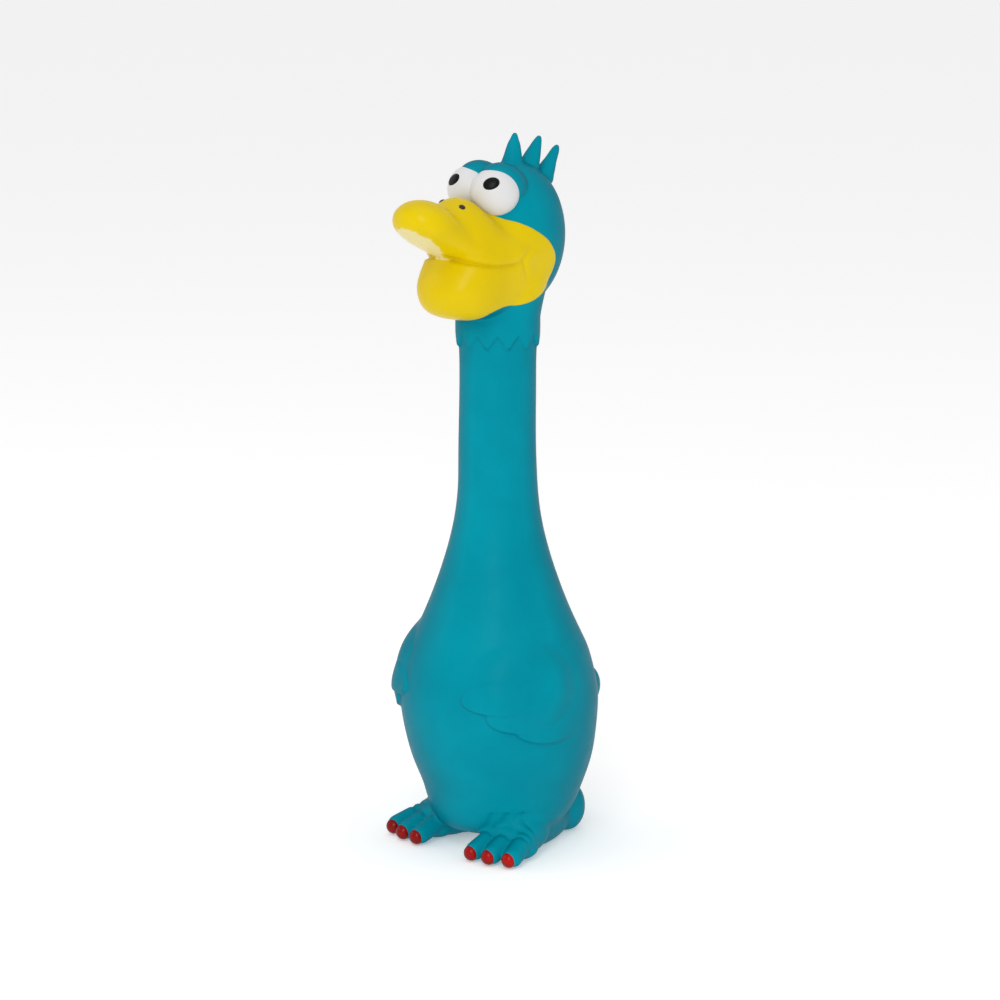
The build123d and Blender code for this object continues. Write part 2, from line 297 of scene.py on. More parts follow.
def points_of(obj):
    """Every point of the mesh, in mm."""
    co = np.empty(len(obj.data.vertices) * 3)
    obj.data.vertices.foreach_get("co", co)
    return co.reshape(-1, 3) / MM


def normals_of(obj):
    """The way out of the surface at every point."""
    normals = np.empty(len(obj.data.vertices) * 3)
    obj.data.vertices.foreach_get("normal", normals)
    return normals.reshape(-1, 3)


def move_points(obj, co):
    """Puts every point of the mesh at a new place, given in mm."""
    obj.data.vertices.foreach_set("co", (co * MM).ravel())
    obj.data.update()


def soften(obj, weights, iterations):
    """Smooths only where the weights say, for fillets."""
    group = obj.vertex_groups.new(name="soft")
    for step in np.linspace(0.1, 1.0, 10):
        chosen = np.nonzero((weights > step - 0.1) & (weights <= step))[0]
        if len(chosen):
            group.add(chosen.tolist(), float(step), "REPLACE")
    modify(obj, "SMOOTH", factor=0.5, iterations=iterations, vertex_group="soft")
    obj.vertex_groups.clear()


def smoothstep(low, high, value):
    """Rises smoothly from 0 at low to 1 at high."""
    t = np.clip((value - low) / (high - low), 0, 1)
    return t * t * (3 - 2 * t)


def crease(away, width):
    """The rounded section of a crease: 1 on its line, falling off over its width."""
    return np.exp(-((away / width) ** 2))


def duplicate(obj, name):
    """A copy of the object and of its mesh."""
    pick(obj)
    bpy.ops.object.duplicate()
    copy = bpy.context.object
    copy.name = copy.data.name = name
    return copy


def keep_side(obj, point, normal, fill=False):
    """Cuts the piece with a plane and keeps the side that the normal points to."""
    pick(obj)
    bpy.ops.object.mode_set(mode="EDIT")
    bpy.ops.mesh.select_all(action="SELECT")
    bpy.ops.mesh.bisect(
        plane_co=[p * MM for p in point], plane_no=normal, use_fill=fill, clear_inner=True, clear_outer=False)
    bpy.ops.object.mode_set(mode="OBJECT")
    return obj


def remember_normals(obj):
    """Keeps the shading of the whole form, for the pieces that will be cut from it."""
    layer = obj.data.attributes.new("form_normal", "FLOAT_VECTOR", "POINT")
    layer.data.foreach_set("vector", normals_of(obj).ravel())


def recall_normals(obj):
    """Shades a cut piece as the whole form was shaded, so that no seam shows."""
    layer = obj.data.attributes["form_normal"]
    normals = np.empty(len(obj.data.vertices) * 3, np.float32)
    layer.data.foreach_get("vector", normals)
    obj.data.attributes.remove(layer)
    obj.data.shade_smooth()
    obj.data.normals_split_custom_set_from_vertices(normals.reshape(-1, 3).tolist())


def remember_place(obj):
    """Keeps each point's place at rest, for the painted edge to be drawn from."""
    layer = obj.data.attributes.new("rest_place", "FLOAT_VECTOR", "POINT")
    layer.data.foreach_set("vector", (points_of(obj) * MM).astype(np.float32).ravel())


# ---------------------------------------------------------------- finishes
def shader(name):
    """A new material, with its nodes, links and surface."""
    material = bpy.data.materials.new(name)
    material.use_nodes = True
    nodes, links = material.node_tree.nodes, material.node_tree.links
    return material, nodes, links, nodes["Principled BSDF"]


def latex_grain_group():
    """Mottled colour, breathing gloss and fine skin height, shared by every latex surface."""
    group = bpy.data.node_groups.get("Latex Grain")
    if group:
        return group
    group = bpy.data.node_groups.new("Latex Grain", "ShaderNodeTree")
    for way, kind, names in (
            ("INPUT", "Vector", ("Vector",)), ("INPUT", "Color", ("Colour", "Shade")),
            ("INPUT", "Float", ("Gloss Low", "Gloss High")),
            ("OUTPUT", "Color", ("Colour",)), ("OUTPUT", "Float", ("Roughness", "Height"))):
        for name in names:
            group.interface.new_socket(name, in_out=way, socket_type="NodeSocket" + kind)
    nodes, links = group.nodes, group.links
    enter, leave = nodes.new("NodeGroupInput"), nodes.new("NodeGroupOutput")

    def noise(scale, detail):
        node = nodes.new("ShaderNodeTexNoise")
        node.inputs["Scale"].default_value = scale
        node.inputs["Detail"].default_value = detail
        links.new(enter.outputs["Vector"], node.inputs["Vector"])
        return node

    cloud, dabs, skin, pores = noise(38, 3), noise(170, 4), noise(900, 3), noise(2600, 2)
    spread = nodes.new("ShaderNodeMapRange")
    spread.inputs["From Min"].default_value = 0.36
    spread.inputs["From Max"].default_value = 0.66
    links.new(cloud.outputs["Fac"], spread.inputs["Value"])
    tint = nodes.new("ShaderNodeMix")
    tint.data_type = "RGBA"
    links.new(spread.outputs["Result"], tint.inputs["Factor"])
    links.new(enter.outputs["Shade"], tint.inputs["A"])
    links.new(enter.outputs["Colour"], tint.inputs["B"])
    links.new(tint.outputs["Result"], leave.inputs["Colour"])
    gloss = nodes.new("ShaderNodeMapRange")
    gloss.inputs["From Min"].default_value = 0.3
    gloss.inputs["From Max"].default_value = 0.7
    links.new(dabs.outputs["Fac"], gloss.inputs["Value"])
    links.new(enter.outputs["Gloss Low"], gloss.inputs["To Min"])
    links.new(enter.outputs["Gloss High"], gloss.inputs["To Max"])
    links.new(gloss.outputs["Result"], leave.inputs["Roughness"])
    mix = nodes.new("ShaderNodeMix")
    mix.data_type = "FLOAT"
    mix.inputs["Factor"].default_value = 0.35
    links.new(skin.outputs["Fac"], mix.inputs["A"])
    links.new(pores.outputs["Fac"], mix.inputs["B"])
    links.new(mix.outputs["Result"], leave.inputs["Height"])
    return group


def coat(name, colour, shade, gloss_low, gloss_high, bump, coat_weight=0.0, coat_roughness=0.2, gleam=0.4):
    """A latex or painted finish. The two colours mottle, and the gloss breathes between its two values."""
    if name in bpy.data.materials:
        return bpy.data.materials[name]
    material, nodes, links, bsdf = shader(name)
    coords = nodes.new("ShaderNodeTexCoord")
    grain = nodes.new("ShaderNodeGroup")
    grain.node_tree = latex_grain_group()
    links.new(coords.outputs["Object"], grain.inputs["Vector"])
    grain.inputs["Colour"].default_value = (*colour, 1)
    grain.inputs["Shade"].default_value = (*shade, 1)
    grain.inputs["Gloss Low"].default_value = gloss_low
    grain.inputs["Gloss High"].default_value = gloss_high
    links.new(grain.outputs["Colour"], bsdf.inputs["Base Color"])
    links.new(grain.outputs["Roughness"], bsdf.inputs["Roughness"])
    lift = nodes.new("ShaderNodeBump")
    lift.inputs["Strength"].default_value = bump
    lift.inputs["Distance"].default_value = 0.0002
    links.new(grain.outputs["Height"], lift.inputs["Height"])
    links.new(lift.outputs["Normal"], bsdf.inputs["Normal"])
    bsdf.inputs["Coat Weight"].default_value = coat_weight
    bsdf.inputs["Coat Roughness"].default_value = coat_roughness
    bsdf.inputs["Specular IOR Level"].default_value = gleam
    return material


def mix_over(material, painted_end, other_end, other_colour, factor):
    """Mixes another colour with the coat's own. The ends say which input of the mix each colour has."""
    nodes, links = material.node_tree.nodes, material.node_tree.links
    surface = nodes["Principled BSDF"].inputs["Base Color"]
    mix = nodes.new("ShaderNodeMix")
    mix.data_type = "RGBA"
    mix.inputs[other_end].default_value = (*other_colour, 1)
    links.new(factor, mix.inputs["Factor"])
    painted = next(link.from_socket for link in links if link.to_socket == surface)
    links.new(painted, mix.inputs[painted_end])
    links.new(mix.outputs["Result"], surface)


def paint_rim_shade(material, start, strength, colour):
    """Paints shade into a coat's colour where it turns away from the eye."""
    nodes, links = material.node_tree.nodes, material.node_tree.links
    rim = nodes.new("ShaderNodeLayerWeight")
    rim.inputs["Blend"].default_value = 0.5
    fade = nodes.new("ShaderNodeMapRange")
    fade.inputs["From Min"].default_value = start
    fade.inputs["To Max"].default_value = strength
    links.new(rim.outputs["Facing"], fade.inputs["Value"])
    mix_over(material, "A", "B", colour, fade.outputs["Result"])


def latex():
    c = colours()
    if "Teal latex" in bpy.data.materials:
        return bpy.data.materials["Teal latex"]
    material = coat("Teal latex", c.latex, c.latex_shade, 0.34, 0.44, 0.10, gleam=0.03)
    # painted shade: the teal darkens towards its edges, where the skin turns away from the eye
    paint_rim_shade(material, 0.25, 0.75, (0.0, 0.1, 0.15))
    return material


def bill_paint():
    c = colours()
    return coat("Yellow bill coat", c.bill, c.bill_shade, 0.24, 0.36, 0.06, coat_weight=0.08,
                coat_roughness=0.12, gleam=0.08)


# the lip falls from the tip of the bill back to the corner of its spoon: mm per mm, and mm at y = 0
LIP_SLOPE, LIP_HEIGHT = -0.66, 215.4
LIP_RAGGEDNESS, LIP_BLUR = 2.2, 0.2
# pale underside: bare latex, lightened as a painted reflection of the white studio
PALE_UNDERSIDE_AND_REFLECTION = (0.76, 0.66, 0.30)


def underside_coat_with_reflection():
    """The yellow coat, which stops raggedly at the lip and leaves the pale underside of the bill bare; the
    underside's pale colour is bare latex and also a painted reflection of the white studio.
    """
    if "Yellow coat, bare underside with painted reflection" in bpy.data.materials:
        return bpy.data.materials["Yellow coat, bare underside with painted reflection"]
    material = bill_paint().copy()
    material.name = "Yellow coat, bare underside with painted reflection"
    nodes, links = material.node_tree.nodes, material.node_tree.links
    place = nodes.new("ShaderNodeAttribute")
    place.attribute_name = "rest_place"
    split = nodes.new("ShaderNodeSeparateXYZ")
    links.new(place.outputs["Vector"], split.inputs["Vector"])
    noise = nodes.new("ShaderNodeTexNoise")
    noise.inputs["Scale"].default_value = 420
    noise.inputs["Detail"].default_value = 4
    links.new(place.outputs["Vector"], noise.inputs["Vector"])

    def maths(kind, first, second):
        node = nodes.new("ShaderNodeMath")
        node.operation = kind
        for socket, value in zip(node.inputs, (first, second)):
            if isinstance(value, (int, float)):
                socket.default_value = value
            else:
                links.new(value, socket)
        return node.outputs["Value"]

    slope = maths("MULTIPLY", split.outputs["Y"], LIP_SLOPE)
    above_lip = maths("SUBTRACT", split.outputs["Z"], maths("ADD", slope, LIP_HEIGHT * MM))
    ragged = maths("MULTIPLY", maths("SUBTRACT", noise.outputs["Fac"], 0.5), LIP_RAGGEDNESS * MM)
    edge = nodes.new("ShaderNodeMapRange")
    edge.inputs["From Min"].default_value = -LIP_BLUR * MM
    edge.inputs["From Max"].default_value = LIP_BLUR * MM
    links.new(maths("ADD", above_lip, ragged), edge.inputs["Value"])
    # below the ragged lip the coat gives way to the pale colour, partly a painted reflection
    mix_over(material, "B", "A", PALE_UNDERSIDE_AND_REFLECTION, edge.outputs["Result"])
    return material


def eye_paint():
    c = colours()
    return coat("White eye coat", c.eye, [v * 0.95 for v in c.eye], 0.3, 0.4, 0.05, coat_weight=0.08, gleam=0.2)


def nail_paint():
    c = colours()
    if "Red nail coat" in bpy.data.materials:
        return bpy.data.materials["Red nail coat"]
    material = coat("Red nail coat", c.nail, [v * 0.5 for v in c.nail], 0.14, 0.26, 0.1, coat_weight=0.12,
                    coat_roughness=0.08, gleam=0.12)
    # painted shade: the red darkens towards its edges, where the nail turns away from the eye
    paint_rim_shade(material, 0.0, 0.8, (0.05, 0.0, 0.0))
    return material


def pupil_paint():
    c = colours()
    return coat("Black pupil dot", c.pupil, [v * 0.7 for v in c.pupil], 0.25, 0.4, 0.08, gleam=0.15)


def nostril_paint():
    return coat("Brown nostril dot", (0.022, 0.006, 0.003), (0.012, 0.004, 0.002), 0.25, 0.4, 0.1)


def insert_plastic():
    return coat("Squeaker plastic", (0.80, 0.80, 0.77), (0.74, 0.74, 0.70), 0.38, 0.5, 0.1)


def reed_film():
    return coat("Reed film", (0.70, 0.66, 0.54), (0.64, 0.60, 0.47), 0.2, 0.3, 0.05)


def finish_with(obj, material):
    """Gives the whole object one material."""
    obj.data.materials.clear()
    obj.data.materials.append(material)
    return obj


# ---------------------------------------------------------------- the moulding
# sizes and places in mm, with +X to the bird's left, -Y ahead of it and the floor at z = 0
# (z, centre y, radius) of the trunk, from the base to the back of the jaw
BODY_RINGS = [
    (6.6, 0.5, 19.0), (7.4, 0.7, 22.5), (9.4, 1.1, 25.6), (13.0, 1.8, 28.2), (17.0, 2.4, 29.8),
    (23.0, 2.9, 31.6), (28.0, 2.7, 33.6), (35.0, 2.2, 36.0), (42.0, 1.7, 37.4), (48.0, 1.2, 38.3),
    (54.0, 0.9, 39.0), (60.0, 0.6, 39.3), (66.0, 0.3, 38.6), (72.0, 0.1, 37.3), (78.0, 0.0, 35.8),
    (84.0, 0.0, 32.9), (91.0, 0.0, 29.6), (97.0, 0.0, 27.1), (103.0, 0.0, 24.8), (109.0, 0.0, 22.7),
    (115.0, 0.0, 20.8), (121.0, 0.0, 19.1), (127.0, 0.0, 17.7), (133.0, 0.0, 16.6), (139.0, 0.0, 15.9),
    (145.0, 0.0, 15.45), (157.0, -0.4, 15.2), (169.0, -0.3, 15.0), (181.0, 0.0, 14.95), (192.0, 0.0, 14.9),
    (199.0, 0.0, 15.1), (206.0, 0.0, 16.1), (212.0, 0.5, 16.4), (218.0, 1.8, 16.9), (224.0, 3.5, 17.2),
    (230.0, 5.5, 16.6),
]
TAIL_AT, TAIL, TAIL_TILT = (0, 38.8, 54.8), (13.4, 14.4, 11.8), 12
SKULL_AT, SKULL = (0, 7.5, 240.5), (17.5, 24.0, 29.0)
EYE_AT, EYE_RADIUS = (6.3, -7.8, 259.2), 9.5  # of the left eye
# (x, y) of each toe of the left foot
TOE_TIPS = {"inner": (15.4, -28.2), "middle": (24.0, -27.3), "outer": (32.4, -24.5)}
TOE_ROOTS = {"inner": (15.0, -10.0), "middle": (20.5, -8.5), "outer": (26.0, -6.0)}
TOE_HEIGHT, TOE_RADIUS = 3.6, 3.9
INSTEP_HEIGHT, INSTEP_RADIUS = 10.4, 4.2
# the lowest and highest z of each band of the neck
CUTS = {"neck_skin_1": (103.0, 124.5), "neck_skin_2": (124.5, 145.0), "neck_skin_3": (145.0, 164.5),
        "neck_skin_4": (164.5, 184.0), "neck_skin_5": (184.0, 206.0)}

# (y, z) of each spike's tip and of its root
CREST = {
    "front": ((9.4, 280.2), (8.0, 269.6)),
    "middle": ((23.0, 278.0), (17.4, 267.6)),
    "rear": ((33.0, 273.6), (25.4, 262.6)),
}
# (distance from the root, radius)
SPIKE_STUB = [(-4.0, 0.1), (-3.6, 3.4), (-1.0, 4.2), (1.5, 3.6), (4.0, 3.05), (4.8, 2.0), (5.0, 0.1)]


def spike_profile(length):
    """The spike's (distance from the root, radius), up to a narrow rounded point."""
    return [(-4.0, 0.1), (-3.6, 3.4), (-1.0, 4.2), (1.5, 3.6), (4.0, 3.05), (6.5, 2.4), (length - 2.2, 1.55),
            (length - 0.8, 1.0), (length - 0.25, 0.6), (length, 0.02)]


def foot_lumps(side):
    """Heel, instep, forefoot and three toes of one foot. side is 1 for left, -1 for right."""
    turn = 14.6 * side
    lumps = [
        blob((14.5 * side, 6.0, 8.0), (9.0, 27.0, 10.5), (0, 0, turn)),
        blob((9.6 * side, 27.4, 9.5), (8.6, 9.4, 11.0)),
        blob((19.0 * side, -7.0, 8.5), (11.6, 14.0, 9.6), (14, 0, turn)),
        blob((22.0 * side, -14.5, 4.6), (11.4, 8.5, 6.0), (10, 0, turn)),
    ]
    for toe, (x, y) in TOE_TIPS.items():
        root = TOE_ROOTS[toe]
        lumps.append(limb((root[0] * side, root[1], INSTEP_HEIGHT), (x * side, y, TOE_HEIGHT),
                          INSTEP_RADIUS, TOE_RADIUS))
    return lumps


# (y, middle z, half width, height above the middle, depth below it)
UPPER_BILL = [
    (-51.0, 251.8, 0.1, 0.1, 0.1), (-50.7, 251.6, 2.6, 2.5, 2.1), (-49.6, 251.0, 5.9, 4.6, 3.4),
    (-47.0, 250.2, 9.4, 6.9, 4.9), (-43.0, 249.0, 11.9, 9.4, 6.8), (-39.0, 247.5, 12.6, 10.7, 7.7),
    (-35.0, 245.5, 12.6, 11.6, 7.7), (-31.0, 243.0, 12.8, 12.9, 6.8), (-27.0, 240.0, 13.8, 16.6, 5.5),
    (-23.0, 238.0, 15.0, 19.7, 5.0), (-19.0, 236.5, 16.0, 20.6, 4.6), (-14.0, 235.6, 17.0, 18.0, 4.2),
    (-8.0, 235.0, 17.8, 14.2, 4.0), (-2.0, 235.0, 18.1, 11.2, 4.0), (4.0, 235.0, 17.8, 8.4, 4.0),
    (10.0, 235.0, 16.9, 6.4, 4.0), (16.0, 235.0, 15.6, 4.6, 4.0), (24.0, 235.0, 0.1, 0.1, 0.1),
]
# (z, centre y, half width, back depth, front depth)
LOWER_BILL = [
    (211.0, -17.0, 0.1, 0.1, 0.1), (211.3, -16.8, 6.0, 6.5, 6.5), (212.5, -16.8, 11.0, 12.0, 12.2),
    (214.2, -17.4, 13.8, 22.0, 15.0), (218.4, -16.9, 16.2, 36.0, 18.5), (223.5, -16.2, 17.3, 40.0, 19.8),
    (229.0, -14.8, 17.8, 40.0, 18.5), (233.0, -13.4, 17.9, 40.0, 17.0), (236.4, -13.0, 17.6, 36.0, 15.6),
    (239.0, -11.0, 14.5, 20.0, 11.0), (240.2, -10.0, 8.0, 10.0, 6.0), (240.5, -10.0, 0.1, 0.1, 0.1),
]


def bill_lumps():
    """The two halves of the bill."""
    return [stack(UPPER_BILL, upright=False), stack(LOWER_BILL, upright=True, squareness=2.3)]


def brow_lumps():
    """The brow behind and above each eye."""
    x, y, z = EYE_AT
    radii = (EYE_RADIUS - 0.6, EYE_RADIUS + 1.5, EYE_RADIUS - 0.6)
    return [blob(((x - 0.6) * side, y + 4.6, z + 1.9), radii, (-24, 0, 0)) for side in (1, -1)]


def form_lumps():
    """Every lump of the moulding, before it is made one skin."""
    trunk = ring_form([(z, y, radius, radius) for z, y, radius in BODY_RINGS])
    modify(trunk, "SUBSURF", levels=2, render_levels=2)
    lumps = [trunk, blob(SKULL_AT, SKULL), blob(TAIL_AT, TAIL, (TAIL_TILT, 0, 0))]
    lumps += foot_lumps(1) + foot_lumps(-1) + bill_lumps() + brow_lumps()
    for tip, root in CREST.values():
        lumps.append(horn((0, *root), (0, *tip), SPIKE_STUB, thinner=0.1))
    return lumps


# (distance round the flank, height, half length, half height, tilt in degrees, share of the feather lift)
FEATHERS = [
    (32.5, 67.2, 18.0, 6.8, 6, 1.0), (41.5, 59.6, 17.0, 7.4, 2, 1.0), (51.0, 55.0, 16.5, 7.8, -2, 0.95),
    (35.0, 79.5, 16.0, 6.6, 8, 0.3),
]
WING_DOME = (41.0, 71.5, 24.0, 19.0)  # (distance round the flank, height, half length, half height)
FLANK_RADIUS = 38.0
WING_BAND = (35, 100)  # the heights that the wings lie between


def wing_height(angle, z):
    """How far the wing relief stands out at an angle round the body and a height."""
    around = np.radians(angle) * FLANK_RADIUS
    at, middle, length, height = WING_DOME
    inside = np.clip(1 - ((around - at) / length) ** 2 - ((z - middle) / height) ** 2, 0, 1)
    dome = sizes().wing_lift * smoothstep(0.0, 0.85, inside)
    feathers = np.zeros_like(z)
    for at, middle, length, height, tilt, share in FEATHERS:
        level, slope = cos(radians(tilt)), sin(radians(tilt))
        along = ((around - at) * level + (z - middle) * slope) / length
        across = (-(around - at) * slope + (z - middle) * level) / height
        inside = 1 - along ** 2 - across ** 2
        edge = smoothstep(0.0, 0.20, inside)
        fade = 1 - smoothstep(-0.2, 0.95, along)
        # thickest along its lower edge
        thick = 0.60 - 0.40 * np.clip(across, -1, 1)
        feathers = np.maximum(feathers, sizes().feather_lift * share * edge * fade * thick)
    return dome + feathers


def press_wings(obj):
    """The folded wings, with their feathers, raised on the flanks."""
    co = points_of(obj)
    radius = np.hypot(co[:, 0], co[:, 1])
    angle = np.degrees(np.arctan2(np.abs(co[:, 0]), -co[:, 1]))
    rise = wing_height(angle, co[:, 2])
    low, high = WING_BAND
    chosen = (co[:, 2] > low) & (co[:, 2] < high) & (radius > 15) & (rise > 0)
    scale = 1 + np.where(chosen, rise / np.maximum(radius, 1), 0)
    co[:, 0] *= scale
    co[:, 1] *= scale
    move_points(obj, co)


GROOVE_DEPTH, GROOVE_WIDTH = 0.9, 1.15
GROOVE_OUT, GROOVE_SPLAY = 4.2, 0.12  # half the distance between the grooves, and how they part upwards


def press_tail(obj):
    """Two grooves that part the tail into three feathers."""
    co = points_of(obj)
    normal = normals_of(obj)
    reach = smoothstep(39.0, 46.0, co[:, 1]) * smoothstep(43.0, 48.0, co[:, 2])
    away = np.abs(co[:, 0]) - GROOVE_OUT - GROOVE_SPLAY * (co[:, 2] - 55.0)
    depth = GROOVE_DEPTH * crease(away, GROOVE_WIDTH) * reach
    move_points(obj, co - normal * depth[:, None])


HEM_LOW, HEM_RISE = 198.6, 5.8  # height of the hem's points, and how far its notches rise from them
HEM_GROOVE = 0.35


def press_collar(obj):
    """The zigzag hem where the head's hood overlaps the neck."""
    co = points_of(obj)
    angle = np.arctan2(co[:, 0], -co[:, 1]) / (2 * pi) * sizes().collar_teeth
    zigzag = np.abs((angle + 0.5) % 1.0 - 0.5) * 2
    hem = HEM_LOW + HEM_RISE * zigzag
    radius = np.hypot(co[:, 0], co[:, 1])
    rise = np.maximum(sizes().collar_radius - radius, 0) * smoothstep(-0.35, 0.35, co[:, 2] - hem)
    rise *= 1 - smoothstep(208.0, 214.0, co[:, 2])
    rise -= HEM_GROOVE * crease(co[:, 2] - hem + 0.7, 0.5)
    scale = 1 + np.where((co[:, 2] > 190) & (co[:, 2] < 216), rise / np.maximum(radius, 1), 0)
    co[:, 0] *= scale
    co[:, 1] *= scale
    move_points(obj, co)


def press_soles(obj):
    """Flattens the soles on the floor with a small rounded edge."""
    co = points_of(obj)
    low = co[:, 2] < 4.0
    z = co[low, 2]
    co[low, 2] = 0.5 * (z + np.sqrt(z * z + 0.9)) - 0.05 * (4.0 - np.maximum(z, 0)) / 4.0
    move_points(obj, co)


# (y, z) along the mouth, and the two short wrinkles that fork at its corner
MOUTH = [(-4.0, 233.6), (-8.0, 232.4), (-16.0, 232.4), (-22.0, 233.2), (-28.0, 234.7), (-34.0, 236.9)]
FORK = [((-4.5, 233.4), (1.0, 238.0)), ((-3.5, 233.6), (-1.5, 227.5))]
MOUTH_DEPTH, LIP_RISE, FORK_DEPTH = 1.5, 0.5, 1.15


def press_mouth(obj):
    """The long crease between the two halves of the bill, and the small fork at its corner."""
    co = points_of(obj)
    normal = normals_of(obj)
    ys = np.array([p[0] for p in MOUTH])[::-1]
    zs = np.array([p[1] for p in MOUTH])[::-1]
    line = np.interp(co[:, 1], ys, zs)
    reach = smoothstep(-1.0, -9.0, co[:, 1]) * (co[:, 2] > 215)
    lip = crease(co[:, 2] - line + 2.6, 1.3) * smoothstep(-14.0, -24.0, co[:, 1])
    depth = (MOUTH_DEPTH * crease(co[:, 2] - line, 0.95) - LIP_RISE * lip) * reach
    for (y0, z0), (y1, z1) in FORK:
        along = np.array((y1 - y0, z1 - z0))
        span = np.hypot(*along)
        along /= span
        offset = co[:, 1:] - np.array((y0, z0))
        t = np.clip(offset @ along, 0, span)
        away = np.hypot(offset[:, 0] - t * along[0], offset[:, 1] - t * along[1])
        depth = np.maximum(depth, FORK_DEPTH * crease(away, 1.1) * (1 - 0.6 * t / span))
    depth *= np.abs(co[:, 0]) > 4
    move_points(obj, co - normal * depth[:, None])


# (y, z) along the edge of the bill's coat of paint, and round the outside ahead of the face
BILL_EDGE = [
    (-13.6, 256.6), (-14.0, 253.6), (-10.8, 250.6), (-3.0, 247.7), (4.7, 243.8), (12.2, 238.2), (16.0, 231.9),
    (14.9, 226.7), (11.3, 221.4), (4.4, 218.1), (-3.9, 216.4), (-11.5, 216.4), (-18.0, 214.4), (-24.0, 209.0),
]
BILL_AHEAD = [(-62.0, 200.0), (-62.0, 272.0), (-17.5, 260.0)]
# (y, z) of the two ends of the valley behind the bill's spoon tip
SADDLE_TOP, SADDLE_FOOT = (-31.5, 256.5), (-23.0, 236.5)
SADDLE_DEPTH, SADDLE_WIDTH = 0.95, 2.8


def press_saddle(obj):
    """The soft valley between the bill's spoon tip and its root."""
    co = points_of(obj)
    normal = normals_of(obj)
    top, foot = np.array(SADDLE_TOP), np.array(SADDLE_FOOT)
    along = (foot - top) / np.linalg.norm(foot - top)
    offset = co[:, 1:] - top
    t = offset @ along
    away = offset[:, 0] * along[1] - offset[:, 1] * along[0]
    reach = smoothstep(-5.0, 1.0, t) * (1 - smoothstep(14.0, 21.0, t)) * (co[:, 1] < -10)
    depth = SADDLE_DEPTH * crease(away, SADDLE_WIDTH) * reach
    move_points(obj, co - normal * depth[:, None])


def inside_outline(points, outline):
    """How far inside a closed outline each point is, negative outside."""
    outline = np.array(outline, float)
    nearest = np.full(len(points), 1e9)
    inside = np.zeros(len(points), bool)
    for a, b in zip(outline, np.roll(outline, -1, 0)):
        edge = b - a
        offset = points - a
        t = np.clip(offset @ edge / (edge @ edge), 0, 1)
        nearest = np.minimum(nearest, np.hypot(*(offset - t[:, None] * edge).T))
        crosses = (a[1] > points[:, 1]) != (b[1] > points[:, 1])
        rise = edge[1] if edge[1] else 1e-9
        inside ^= crosses & (points[:, 0] < edge[0] * (points[:, 1] - a[1]) / rise + a[0])
    return np.where(inside, nearest, -nearest)


def press_paint(obj):
    """The bill's thick coat of paint stands a little proud of the latex."""
    co = points_of(obj)
    normal = normals_of(obj)
    near = (co[:, 2] > 205) & (co[:, 1] < 20)
    rise = np.zeros(len(co))
    deep = inside_outline(co[near][:, 1:], BILL_EDGE + BILL_AHEAD)
    rise[near] = sizes().paint * smoothstep(-0.3, 0.6, deep)
    move_points(obj, co + normal * rise[:, None])


KNUCKLES = (0.30, 0.47, 0.62)  # as shares of the toe's length from its root
KNUCKLE_DEPTH, KNUCKLE_WIDTH = 0.6, 0.75


def press_toes(obj):
    """Knuckle wrinkles across each toe, on its upper side."""
    co = points_of(obj)
    normal = normals_of(obj)
    depth = np.zeros(len(co))
    for side in (1, -1):
        for toe, tip in TOE_TIPS.items():
            root = TOE_ROOTS[toe]
            along = np.array((tip[0] - root[0], tip[1] - root[1]))
            span = np.hypot(*along)
            along /= span
            offset = np.stack((co[:, 0] * side - root[0], co[:, 1] - root[1]), 1)
            t = offset @ along
            away = np.abs(offset[:, 0] * along[1] - offset[:, 1] * along[0])
            on_toe = (1 - smoothstep(2.4, 4.2, away)) * (co[:, 2] > 4) * (co[:, 2] < 18)
            for knuckle in KNUCKLES:
                wrinkle = KNUCKLE_DEPTH * crease(t - knuckle * span, KNUCKLE_WIDTH)
                depth = np.maximum(depth, wrinkle * on_toe)
    move_points(obj, co - normal * depth[:, None])


def moulding():
    """The whole moulding as one skin, with its relief pressed in."""
    obj = bpy.data.objects.get("moulding")
    if obj:
        return obj
    obj = clay("moulding", form_lumps(), sizes().grain, 6)
    # fillets where the feet meet the body, where the bill meets the head, and round the bill's root
    co = points_of(obj)
    ankle = smoothstep(4.0, 10.0, co[:, 2]) * (1 - smoothstep(20.0, 30.0, co[:, 2]))
    ankle *= 1 - 0.85 * smoothstep(-12.0, -19.0, co[:, 1])
    face = smoothstep(204.0, 209.0, co[:, 2]) * (1 - smoothstep(250.0, 256.0, co[:, 2]))
    muzzle = smoothstep(206.0, 212.0, co[:, 2]) * smoothstep(-4.0, -10.0, co[:, 1]) * (co[:, 2] < 262)
    soften(obj, np.clip(ankle, 0, 1), 60)
    soften(obj, np.clip(face, 0, 1), 45)
    soften(obj, np.clip(muzzle, 0, 1), 12)
    for press in (press_soles, press_toes, press_wings, press_tail, press_collar, press_mouth, press_saddle):
        press(obj)
    modify(obj, "SMOOTH", factor=0.4, iterations=2)
    press_paint(obj)
    remember_normals(obj)
    return obj


def skin_band(name, low, high):
    """The part of the moulding between two heights, with its shading kept."""
    piece = duplicate(moulding(), name)
    if low is not None:
        keep_side(piece, (0, 0, low), (0, 0, 1))
    if high is not None:
        keep_side(piece, (0, 0, high), (0, 0, -1))
    return piece


# ---------------------------------------------------------------- operators
class BIRD_OT_body(bpy.types.Operator):
    """Body skin with wings, tail and feet"""

    bl_idname = "bird.body"
    bl_label = "Body skin"

    def execute(self, context):
        piece = skin_band("body_skin", None, CUTS["neck_skin_1"][0])
        recall_normals(piece)
        finish_with(piece, latex())
        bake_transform(piece)
        nodes = ["torso_skin", "belly_press", "tail", "wing_left", "wing_right", "foot_left", "foot_right"]
        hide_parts(*nodes)
        return {"FINISHED"}


